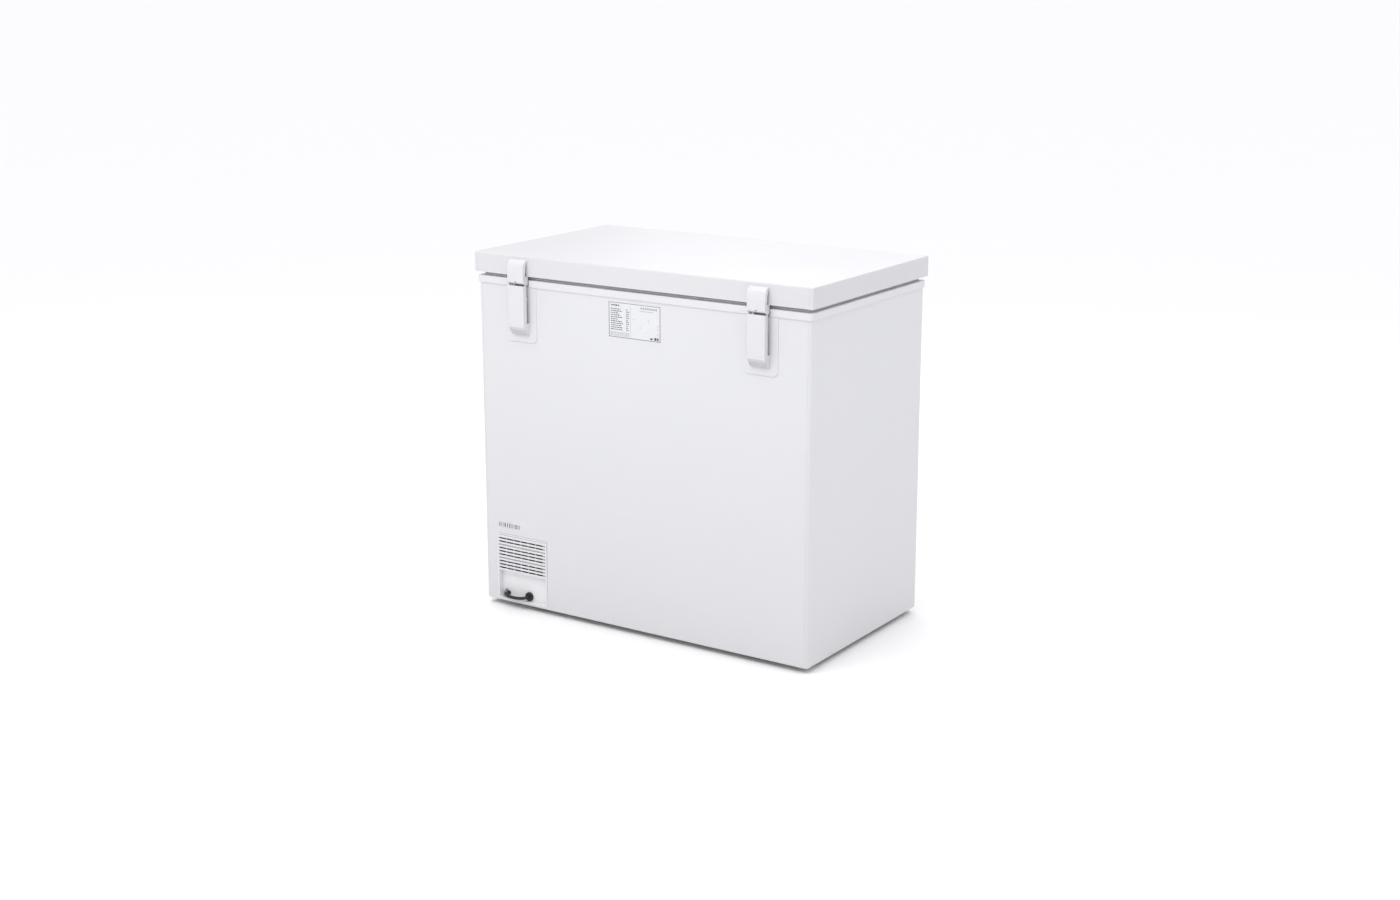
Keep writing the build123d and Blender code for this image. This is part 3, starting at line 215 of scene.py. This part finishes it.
def grille_moulding():
    """White outside; the depths of the slots are tinted near-black as painted shade, and the cord recess is
    tinted lighter as painted light against its own shading.
    """
    plastic = Surface("grille_moulding", (0.725, 0.727, 0.745), 0.38)
    plastic.vary_roughness(30.0, 0.04).vary_color(14.0, (0.70, 0.702, 0.72), 0.7)
    y, z = plastic.axis(plastic.place, "Y"), plastic.axis(plastic.place, "Z")
    depth = plastic.spread(y, 1.0, 0.0, GRILLE_FACE_Y - SLOT_SHADE_TO, GRILLE_FACE_Y - SLOT_SHADE_FROM)
    above = plastic.spread(z, 0.0, 1.0, RECESS_TOP_Z, RECESS_TOP_Z + RECESS_BLEND)
    below = plastic.spread(z, 1.0, 0.0, RECESS_TOP_Z, RECESS_TOP_Z + RECESS_BLEND)
    # Painted shade: the depths of the slots above the recess are tinted near-black.
    plastic.tint(plastic.multiply(depth, above), (0.006, 0.006, 0.006))
    # Painted light: the cord recess below is tinted lighter than the rest of the moulding to cancel its
    # shading.
    plastic.tint(plastic.multiply(depth, below), (0.80, 0.80, 0.815))
    return plastic.grain(700.0, 0.0001, 0.35).material


def hinge_moulding():
    """White, with painted shade: darker where the surface faces down."""
    plastic = Surface("hinge_moulding", (0.715, 0.715, 0.735), 0.36)
    plastic.vary_roughness(30.0, 0.04).vary_color(14.0, (0.69, 0.69, 0.71), 0.7)
    facing = plastic.nodes.new("ShaderNodeNewGeometry").outputs["True Normal"]
    # Painted shade: faces that point down are tinted dark grey.
    plastic.tint(plastic.spread(plastic.axis(facing, "Z"), 0.55, 0.0, -0.75, -0.35), (0.16, 0.16, 0.17))
    return plastic.grain(500.0, 0.0001, 0.35).material


def embossed_liner():
    liner = Surface("embossed_liner", (0.70, 0.71, 0.725), 0.36, Metallic=0.55)
    liner.vary_roughness(18.0, 0.05).vary_color(5.0, (0.64, 0.65, 0.67), 0.6)
    return liner.cells(190.0, 0.0005, 0.5).material


def gasket_rubber():
    rubber = Surface("gasket_rubber", (0.60, 0.60, 0.62), 0.55, Sheen_Weight=0.08)
    rubber.vary_roughness(60.0, 0.06).vary_color(25.0, (0.54, 0.54, 0.56), 0.6)
    return rubber.grain(420.0, 0.0002, 0.4).material


def rigid_foam():
    foam = Surface("rigid_foam", (0.80, 0.76, 0.62), 0.9)
    return foam.vary_color(30.0, (0.74, 0.68, 0.50), 0.7).cells(320.0, 0.0012, 0.8).material


def dark_plastic(name, color, roughness):
    plastic = Surface(name, color, roughness)
    lighter = tuple(c * 1.6 + 0.004 for c in color)
    plastic.vary_roughness(80.0, 0.06).vary_color(40.0, lighter, 0.5)
    return plastic.grain(1200.0, 0.00012, 0.4).material


def cord_sheath():
    sheath = Surface("cord_sheath", (0.012, 0.012, 0.013), 0.42)
    sheath.vary_roughness(120.0, 0.07).vary_color(60.0, (0.022, 0.022, 0.024), 0.5)
    return sheath.grain(900.0, 0.0001, 0.3).material


def bare_metal(name, color, roughness, stretch=(1.0, 1.0, 14.0)):
    metal = Surface(name, color, roughness, Metallic=1.0)
    darker = tuple(0.8 * c for c in color)
    metal.vary_roughness(40.0, 0.08, stretch).vary_color(18.0, darker, 0.6)
    return metal.grain(260.0, 0.00012, 0.4, stretch).material


def enamelled_shell():
    shell = Surface("enamelled_shell", (0.012, 0.012, 0.013), 0.28, Coat_Weight=0.4)
    shell.vary_roughness(25.0, 0.06).vary_color(12.0, (0.03, 0.03, 0.03), 0.5)
    return shell.grain(260.0, 0.0003, 0.3).material


def copper_pipe():
    pipe = Surface("copper_pipe", (0.72, 0.34, 0.20), 0.30, Metallic=1.0)
    pipe.vary_roughness(50.0, 0.10).vary_color(35.0, (0.42, 0.20, 0.13), 0.7)
    return pipe.grain(500.0, 0.0001, 0.3).material


def label_film():
    film = Surface("label_film", (0.735, 0.738, 0.760), 0.42)
    film.vary_roughness(50.0, 0.05).vary_color(70.0, (0.715, 0.718, 0.742), 0.5)
    return film.grain(1500.0, 0.00004, 0.3).material


def printing_ink(name, color):
    ink = Surface(name, color, 0.5)
    lighter = tuple(min(1.0, c * 1.25 + 0.02) for c in color)
    ink.vary_roughness(200.0, 0.05).vary_color(600.0, lighter, 0.7)
    return ink.grain(2500.0, 0.00002, 0.2).material


def lamp_lens():
    lens = Surface("lamp_lens", (0.10, 0.45, 0.14), 0.15, Transmission_Weight=0.3, Coat_Weight=0.5)
    lens.vary_roughness(90.0, 0.04).vary_color(200.0, (0.06, 0.32, 0.10), 0.6)
    return lens.cells(900.0, 0.0002, 0.4).material


steel_paint = coated_steel()
lid_paint = lid_steel()
white_plastic = moulded_plastic("white_moulding", (0.735, 0.735, 0.755), 0.38)
hinge_plastic = hinge_moulding()
grille_plastic = grille_moulding()
matt_plastic = moulded_plastic("matt_white_moulding", (0.76, 0.76, 0.77), 0.5)
lining_plastic = moulded_plastic("lid_lining", (0.79, 0.79, 0.80), 0.4, 350.0)
liner_sheet = embossed_liner()
gasket_grey = gasket_rubber()
foam_cream = rigid_foam()
black_moulding = dark_plastic("black_moulding", (0.014, 0.014, 0.015), 0.45)
black_rubber = dark_plastic("black_rubber", (0.010, 0.010, 0.010), 0.65)
sheath_black = cord_sheath()
zinc = bare_metal("zinc_plated", (0.62, 0.62, 0.60), 0.35)
enamel = enamelled_shell()
copper = copper_pipe()
film_white = label_film()
ink_grey = printing_ink("ink_grey", (0.07, 0.07, 0.08))
ink_light = printing_ink("ink_light", (0.36, 0.37, 0.40))
lens_green = lamp_lens()
clip_grey = moulded_plastic("clip_grey", (0.36, 0.36, 0.38), 0.5)

NODE_MATERIALS = {
    "left_side_panel": steel_paint,
    "right_side_panel": steel_paint,
    "front_panel": steel_paint,
    "back_panel": steel_paint,
    "lid_outer_skin": lid_paint,
    "top_frame": white_plastic,
    "rear_grille_cover": grille_plastic,
    "side_grille": white_plastic,
    "control_bezel": white_plastic,
    "lid_handle": white_plastic,
    "thermostat_knob": matt_plastic,
    "drain_tube": matt_plastic,
    "drain_plug": matt_plastic,
    "drain_cap": matt_plastic,
    "wire_basket": white_plastic,
    "lid_inner_panel": lining_plastic,
    "inner_liner": liner_sheet,
    "lid_gasket": gasket_grey,
    "foam_insulation": foam_cream,
    "lid_foam": foam_cream,
    "feet": black_rubber,
    "compressor_grommets": black_rubber,
    "power_plug": black_moulding,
    "cord_gland": black_moulding,
    "supply_lead": sheath_black,
    "terminal_cover": black_moulding,
    "thermostat_body": black_moulding,
    "compressor_lower_shell": enamel,
    "compressor_upper_shell": enamel,
    "compressor_mount_plate": enamel,
    "discharge_tube": copper,
    "suction_tube": copper,
    "capillary_tube": copper,
    "filter_drier": copper,
    "evaporator_coil": copper,
    "condenser_coil": copper,
    "rating_label": film_white,
    "stock_label": film_white,
    "indicator_lamps": lens_green,
}
for word in ("left", "right"):
    NODE_MATERIALS["hinge_cover_" + word] = hinge_plastic
    NODE_MATERIALS["hinge_housing_" + word] = hinge_plastic
    NODE_MATERIALS["hinge_base_plate_" + word] = hinge_plastic

for name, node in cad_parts.items():
    node.data.materials.clear()
    node.data.materials.append(NODE_MATERIALS.get(name, zinc))


# Printing and small fittings

PRINT_THICK = 0.05 * MM


def new_piece(name, build, material, body):
    mesh = bpy.data.meshes.new(name)
    build.to_mesh(mesh)
    build.free()
    piece = bpy.data.objects.new(name, mesh)
    bpy.context.scene.collection.objects.link(piece)
    mesh.materials.append(material)
    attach(piece, body)
    return piece


def add_block(build, low, high, turn=None):
    """A box between two corners, turned about the shared frame by a matrix when one is given."""
    middle = (Vector(low) + Vector(high)) / 2
    size = Vector(high) - Vector(low)
    matrix = Matrix.Translation(middle) @ Matrix.Diagonal((*size, 1.0))
    bmesh.ops.create_cube(build, size=1.0, matrix=turn @ matrix if turn else matrix)


def print_on_label(name, label, marks, ink):
    """Ink blocks on a label of the back, as shares of its width from +X and of its height from the top."""
    low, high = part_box(label)
    wide, tall = high.x - low.x, high.z - low.z
    build = bmesh.new()
    for left, right, top, bottom in marks:
        add_block(
            build,
            (high.x - right * wide, high.y, high.z - bottom * tall),
            (high.x - left * wide, high.y + PRINT_THICK, high.z - top * tall),
        )
    new_piece(name, build, ink, "cabinet")


def dashes(start, end, top, bottom, shortest, longest, gap):
    """A broken row that stands for a line of printing."""
    marks = []
    at = start
    while at < end:
        reach = min(end, at + rng.uniform(shortest, longest))
        marks.append((at, reach, top, bottom))
        at = reach + gap
    return marks


def make_rating_print():
    dark = [
        (0.012, 0.022, 0.025, 0.975), (0.978, 0.988, 0.025, 0.975),
        (0.022, 0.978, 0.025, 0.037), (0.022, 0.978, 0.960, 0.975),
    ]
    dark += dashes(0.06, 0.22, 0.085, 0.125, 0.02, 0.05, 0.012)
    for row in range(11):
        top = 0.19 + 0.056 * row
        dark += dashes(0.05, rng.uniform(0.17, 0.29), top, top + 0.024, 0.015, 0.05, 0.010)
        dark += dashes(0.345, rng.uniform(0.375, 0.41), top, top + 0.024, 0.015, 0.04, 0.008)
    dark += [(0.80, 0.845, 0.885, 0.935), (0.875, 0.915, 0.865, 0.94), (0.925, 0.955, 0.865, 0.94)]
    print_on_label("rating_label_print", "rating_label", dark, ink_grey)
    light = [(0.425, 0.430, 0.10, 0.955), (0.60, 0.86, 0.185, 0.200)]
    light += [(0.62 + 0.04 * i, 0.65 + 0.04 * i, 0.085, 0.14) for i in range(8)]
    for row in range(4):
        top = 0.83 + 0.03 * row
        light += dashes(0.04, 0.40, top, top + 0.014, 0.03, 0.09, 0.010)
    for across, down in ((0.48, 0.42), (0.60, 0.62), (0.76, 0.42), (0.93, 0.52), (0.93, 0.62), (0.93, 0.76)):
        light.append((across, across + 0.022, down, down + 0.010))
        light.append((across, across + 0.022, down + 0.030, down + 0.040))
        light.append((across + 0.008, across + 0.014, down + 0.010, down + 0.030))
    print_on_label("rating_label_tables", "rating_label", light, ink_light)


def make_stock_print():
    bars = []
    at = 0.02
    while at < 0.97:
        reach = at + rng.choice((0.012, 0.012, 0.022, 0.034))
        bars.append((at, reach, 0.22, 0.80))
        at = reach + rng.choice((0.014, 0.014, 0.024, 0.046))
    print_on_label("stock_label_bars", "stock_label", bars, ink_grey)
    rows = dashes(0.03, 0.60, 0.06, 0.12, 0.015, 0.05, 0.02)
    rows += dashes(0.06, 0.90, 0.87, 0.93, 0.012, 0.03, 0.015)
    print_on_label("stock_label_rows", "stock_label", rows, ink_light)


def add_turned(build, profile, centre, sides=24):
    """A shape of revolution about a line along Y; the profile is (radius, y) pairs."""
    rings = []
    for radius, y in profile:
        rings.append([
            build.verts.new((
                centre[0] + radius * math.cos(2 * math.pi * i / sides),
                y,
                centre[1] + radius * math.sin(2 * math.pi * i / sides),
            ))
            for i in range(sides)
        ])
    for inner, outer in zip(rings, rings[1:]):
        for i in range(sides):
            build.faces.new((inner[i], inner[i - 1], outer[i - 1], outer[i]))
    build.faces.new(rings[0])
    build.faces.new(reversed(rings[-1]))


COVER_SCREW_Z = 0.792


def make_cover_screws():
    """A small domed screw with a crossed recess at the bottom of each hinge cover's screw hole."""
    for word in ("left", "right"):
        low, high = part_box("hinge_cover_" + word)
        middle = (low.x + high.x) / 2
        seat = high.y - 3.4 * MM
        build = bmesh.new()
        profile = [(1.6 * MM, seat), (1.6 * MM, seat + 0.5 * MM), (1.2 * MM, seat + 1.0 * MM)]
        profile += [(0.6 * MM, seat + 1.2 * MM), (0.45 * MM, seat + 0.8 * MM), (0.2 * MM, seat + 0.6 * MM)]
        add_turned(build, profile, (middle, COVER_SCREW_Z))
        for angle in (0.0, math.pi / 2):
            turn = Matrix.Translation((middle, 0, COVER_SCREW_Z)) @ Matrix.Rotation(angle, 4, "Y")
            low_corner = (-1.0 * MM, seat + 0.9 * MM, -0.15 * MM)
            high_corner = (1.0 * MM, seat + 1.15 * MM, 0.15 * MM)
            add_block(build, low_corner, high_corner, turn)
        new_piece("hinge_cover_screw_" + word, build, zinc, "lid")


def make_cord_clip():
    """The small grey hook beside the hole that the cord goes back into."""
    build = bmesh.new()
    floor_y, front_y = 240.2 * MM, 254.6 * MM
    add_block(build, (391.3 * MM, floor_y, 24.0 * MM), (393.5 * MM, front_y, 38.6 * MM))
    add_block(build, (384.0 * MM, front_y - 2.2 * MM, 36.6 * MM), (391.3 * MM, front_y, 38.6 * MM))
    add_block(build, (390.0 * MM, floor_y, 22.6 * MM), (395.4 * MM, floor_y + 1.6 * MM, 40.4 * MM))
    edges = [e for e in build.edges if e.calc_length() > 1.9 * MM]
    bmesh.ops.bevel(build, geom=edges, offset=0.35 * MM, segments=2, affect="EDGES")
    new_piece("cord_clip", build, clip_grey, "cabinet")


DIAL_FROM, DIAL_TO, DIAL_MARKS = 0.0, -270.0, 7
MARK_FROM, MARK_TO = 19.0 * MM, 22.5 * MM
GROOVE_DEPTH = 0.8 * MM
INK_FROM, INK_TO = 4.3 * MM, 12.6 * MM
LAMP_XS = (0.285, 0.303, 0.321)


def make_control_print():
    """Scale marks round the thermostat knob, bars under each lamp, and the ink in the knob's groove."""
    low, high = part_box("thermostat_knob")
    bezel_low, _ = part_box("control_bezel")
    centre = Vector(((low.x + high.x) / 2, 0.0, (low.z + high.z) / 2))
    face = bezel_low.y
    build = bmesh.new()
    for i in range(DIAL_MARKS):
        angle = math.radians(DIAL_FROM + (DIAL_TO - DIAL_FROM) * i / (DIAL_MARKS - 1))
        turn = Matrix.Translation(centre) @ Matrix.Rotation(angle, 4, "Y")
        half = (0.35 + 0.10 * i) * MM
        add_block(build, (-half, face - PRINT_THICK, MARK_FROM), (half, face, MARK_TO), turn)
    for lamp_x in LAMP_XS:
        add_block(build, (lamp_x - 4 * MM, face - PRINT_THICK, 0.1395), (lamp_x + 4 * MM, face, 0.1405))
        add_block(build, (lamp_x - 2.5 * MM, face - PRINT_THICK, 0.1370), (lamp_x + 2.5 * MM, face, 0.1378))
    new_piece("control_scale", build, ink_grey, "cabinet")
    build = bmesh.new()
    turn = Matrix.Translation(centre)
    bottom = low.y + GROOVE_DEPTH
    for half, near, far in ((0.7 * MM, -0.3 * MM, 0.2 * MM), (0.45 * MM, -0.4 * MM, -0.3 * MM)):
        add_block(build, (-half, bottom + near, INK_FROM), (half, bottom + far, INK_TO), turn)
    new_piece("knob_pointer", build, ink_grey, "knob")


make_rating_print()
make_stock_print()
make_cover_screws()
make_cord_clip()
make_control_print()


# Power cord

CORD_D = 7.8 * MM
CORD_ROUTE = [
    (0.324, 0.242, 0.0325),
    (0.324, 0.2515, 0.0323),
    (0.331, 0.258, 0.031),
    (0.3455, 0.2586, 0.0286),
    (0.363, 0.2586, 0.0277),
    (0.380, 0.258, 0.0294),
    (0.387, 0.2515, 0.0304),
    (0.387, 0.242, 0.0304),
    (0.3872, 0.226, 0.029),
    (0.3864, 0.200, 0.0244),
    (0.3852, 0.172, 0.0204),
    (0.3846, 0.145, 0.0187),
    (0.3845, 0.120, 0.0184),
]
COIL_CENTRE = (0.335, 0.118)
COIL_RADII = (0.0495, 0.042, 0.0345)
COIL_LOW_Z = 0.0184
COIL_HIGH_Z = 0.0262
TURN_POINTS = 16


def coil_points():
    """Five and a half turns, clockwise from above: inwards along the floor, then outwards on top."""
    turns = [(r, COIL_LOW_Z) for r in COIL_RADII] + [(r, COIL_HIGH_Z) for r in reversed(COIL_RADII)]
    points = []
    total = len(turns) * TURN_POINTS - TURN_POINTS // 2
    for i in range(1, total + 1):
        turn, part = divmod(i, TURN_POINTS)
        radius, height = turns[min(turn, len(turns) - 1)]
        after_radius, after_height = turns[min(turn + 1, len(turns) - 1)]
        share = max(0.0, part / TURN_POINTS - 0.7) / 0.3
        radius += (after_radius - radius) * share
        height += (after_height - height) * share
        angle = -2 * math.pi * i / TURN_POINTS
        points.append((
            COIL_CENTRE[0] + radius * math.cos(angle),
            COIL_CENTRE[1] + radius * math.sin(angle),
            height,
        ))
    return points


TIE_ANGLE = math.radians(-48)
TIE_HALF_WIDTH = 2.5 * MM
TIE_THICK = 0.25 * MM


def make_cord_tie():
    """A flat strap round all the turns of the coil, closed by a small ridged buckle on top."""
    inner = COIL_RADII[-1] - CORD_D / 2 - TIE_THICK
    outer = COIL_RADII[0] + CORD_D / 2 + TIE_THICK
    low, high = COIL_LOW_Z - CORD_D / 2 - TIE_THICK, COIL_HIGH_Z + CORD_D / 2 + TIE_THICK
    turn = Matrix.Translation((*COIL_CENTRE, 0.0)) @ Matrix.Rotation(TIE_ANGLE, 4, "Z")
    round_r = 2.5 * MM
    corners = [(outer, low, -90), (outer, high, 0), (inner, high, 90), (inner, low, 180)]
    path = []
    for x, z, start in corners:
        cx = x - round_r if x == outer else x + round_r
        cz = z - round_r if z == high else z + round_r
        for step in range(6):
            angle = math.radians(start + 18 * step)
            path.append((cx, cz, math.cos(angle), math.sin(angle)))
    build = bmesh.new()
    loops = []
    for x, z, out_x, out_z in path:
        edge = []
        for y, depth in ((-1, 0), (1, 0), (1, 1), (-1, 1)):
            reach = round_r - depth * TIE_THICK
            place = Vector((x + out_x * reach, y * TIE_HALF_WIDTH, z + out_z * reach))
            edge.append(build.verts.new(turn @ place))
        loops.append(edge)
    for before, after in zip(loops, loops[1:] + loops[:1]):
        for i in range(4):
            build.faces.new((before[i], before[i - 1], after[i - 1], after[i]))
    bmesh.ops.recalc_face_normals(build, faces=build.faces)
    middle = (inner + outer) / 2
    for i in range(5):
        at = middle + (i - 2) * 1.6 * MM
        tall = (1.6 if i % 2 else 2.2) * MM
        add_block(build, (at - 0.8 * MM, -3.4 * MM, high), (at + 0.8 * MM, 3.4 * MM, high + tall), turn)
    return new_piece("cord_tie", build, black_moulding, "cabinet")


def make_cord():
    low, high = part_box("power_plug")
    tail_x = COIL_CENTRE[0] - COIL_RADII[0]
    tail = [(tail_x, low.y - 0.004, COIL_HIGH_Z), (tail_x, low.y + 0.006, COIL_HIGH_Z + 0.0002)]
    route = CORD_ROUTE + coil_points() + tail
    curve = bpy.data.curves.new("mains_cord", "CURVE")
    curve.dimensions = "3D"
    curve.bevel_depth = CORD_D / 2
    curve.bevel_resolution = 8
    curve.use_fill_caps = True
    spline = curve.splines.new("NURBS")
    spline.points.add(len(route) - 1)
    for point, place in zip(spline.points, route):
        point.co = (*place, 1.0)
    spline.order_u = 3
    spline.use_endpoint_u = True
    spline.resolution_u = 8
    cord = bpy.data.objects.new("mains_cord", curve)
    bpy.context.scene.collection.objects.link(cord)
    curve.materials.append(sheath_black)
    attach(cord, "cabinet")
    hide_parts("power_cord", "cord_coil")
    make_cord_tie()


make_cord()


# Floor and light

FLOOR_HALF = 150.0


def make_stage():
    mesh = bpy.data.meshes.new("floor")
    build = bmesh.new()
    bmesh.ops.create_grid(build, x_segments=2, y_segments=2, size=FLOOR_HALF)
    build.to_mesh(mesh)
    build.free()
    floor = bpy.data.objects.new("floor", mesh)
    bpy.context.scene.collection.objects.link(floor)
    paper = Surface("studio_paper", (0.97, 0.97, 0.97), 0.9)
    mesh.materials.append(paper.vary_color(3.0, (0.962, 0.962, 0.962), 0.5).material)


def area_light(name, place, target, size, power):
    data = bpy.data.lights.new(name, "AREA")
    data.shape = "RECTANGLE"
    data.size, data.size_y = size
    data.energy = power
    light = bpy.data.objects.new(name, data)
    bpy.context.scene.collection.objects.link(light)
    light.location = place
    aim = Vector(target) - Vector(place)
    light.rotation_mode = "QUATERNION"
    light.rotation_quaternion = aim.to_track_quat("-Z", "Y")


WORLD_COLOR = (0.975, 0.975, 1.0, 1.0)
WORLD_STRENGTH = 0.64
SUN_POWER = 1.25
SUN_ANGLE = math.radians(100)


def make_light():
    world = bpy.data.worlds.new("studio")
    world.use_nodes = True
    background = world.node_tree.nodes["Background"]
    background.inputs["Color"].default_value = WORLD_COLOR
    background.inputs["Strength"].default_value = WORLD_STRENGTH
    bpy.context.scene.world = world
    sky = bpy.data.lights.new("soft_overhead_sun", "SUN")
    sky.energy = SUN_POWER
    sky.angle = SUN_ANGLE
    sun = bpy.data.objects.new("soft_overhead_sun", sky)
    bpy.context.scene.collection.objects.link(sun)
    area_light("back_face_key", (0.1, 1.7, 2.1), (0.0, 0.25, 0.62), (1.6, 1.0), 15.0)
    area_light("side_fill", (-1.9, 0.2, 2.1), (-0.45, 0.0, 0.62), (1.2, 1.0), 4.0)
    area_light("front_fill", (1.2, -2.6, 2.1), (0.1, -0.25, 0.5), (1.6, 1.2), 13.0)
    bpy.context.scene.view_settings.view_transform = "Standard"


make_stage()
make_light()
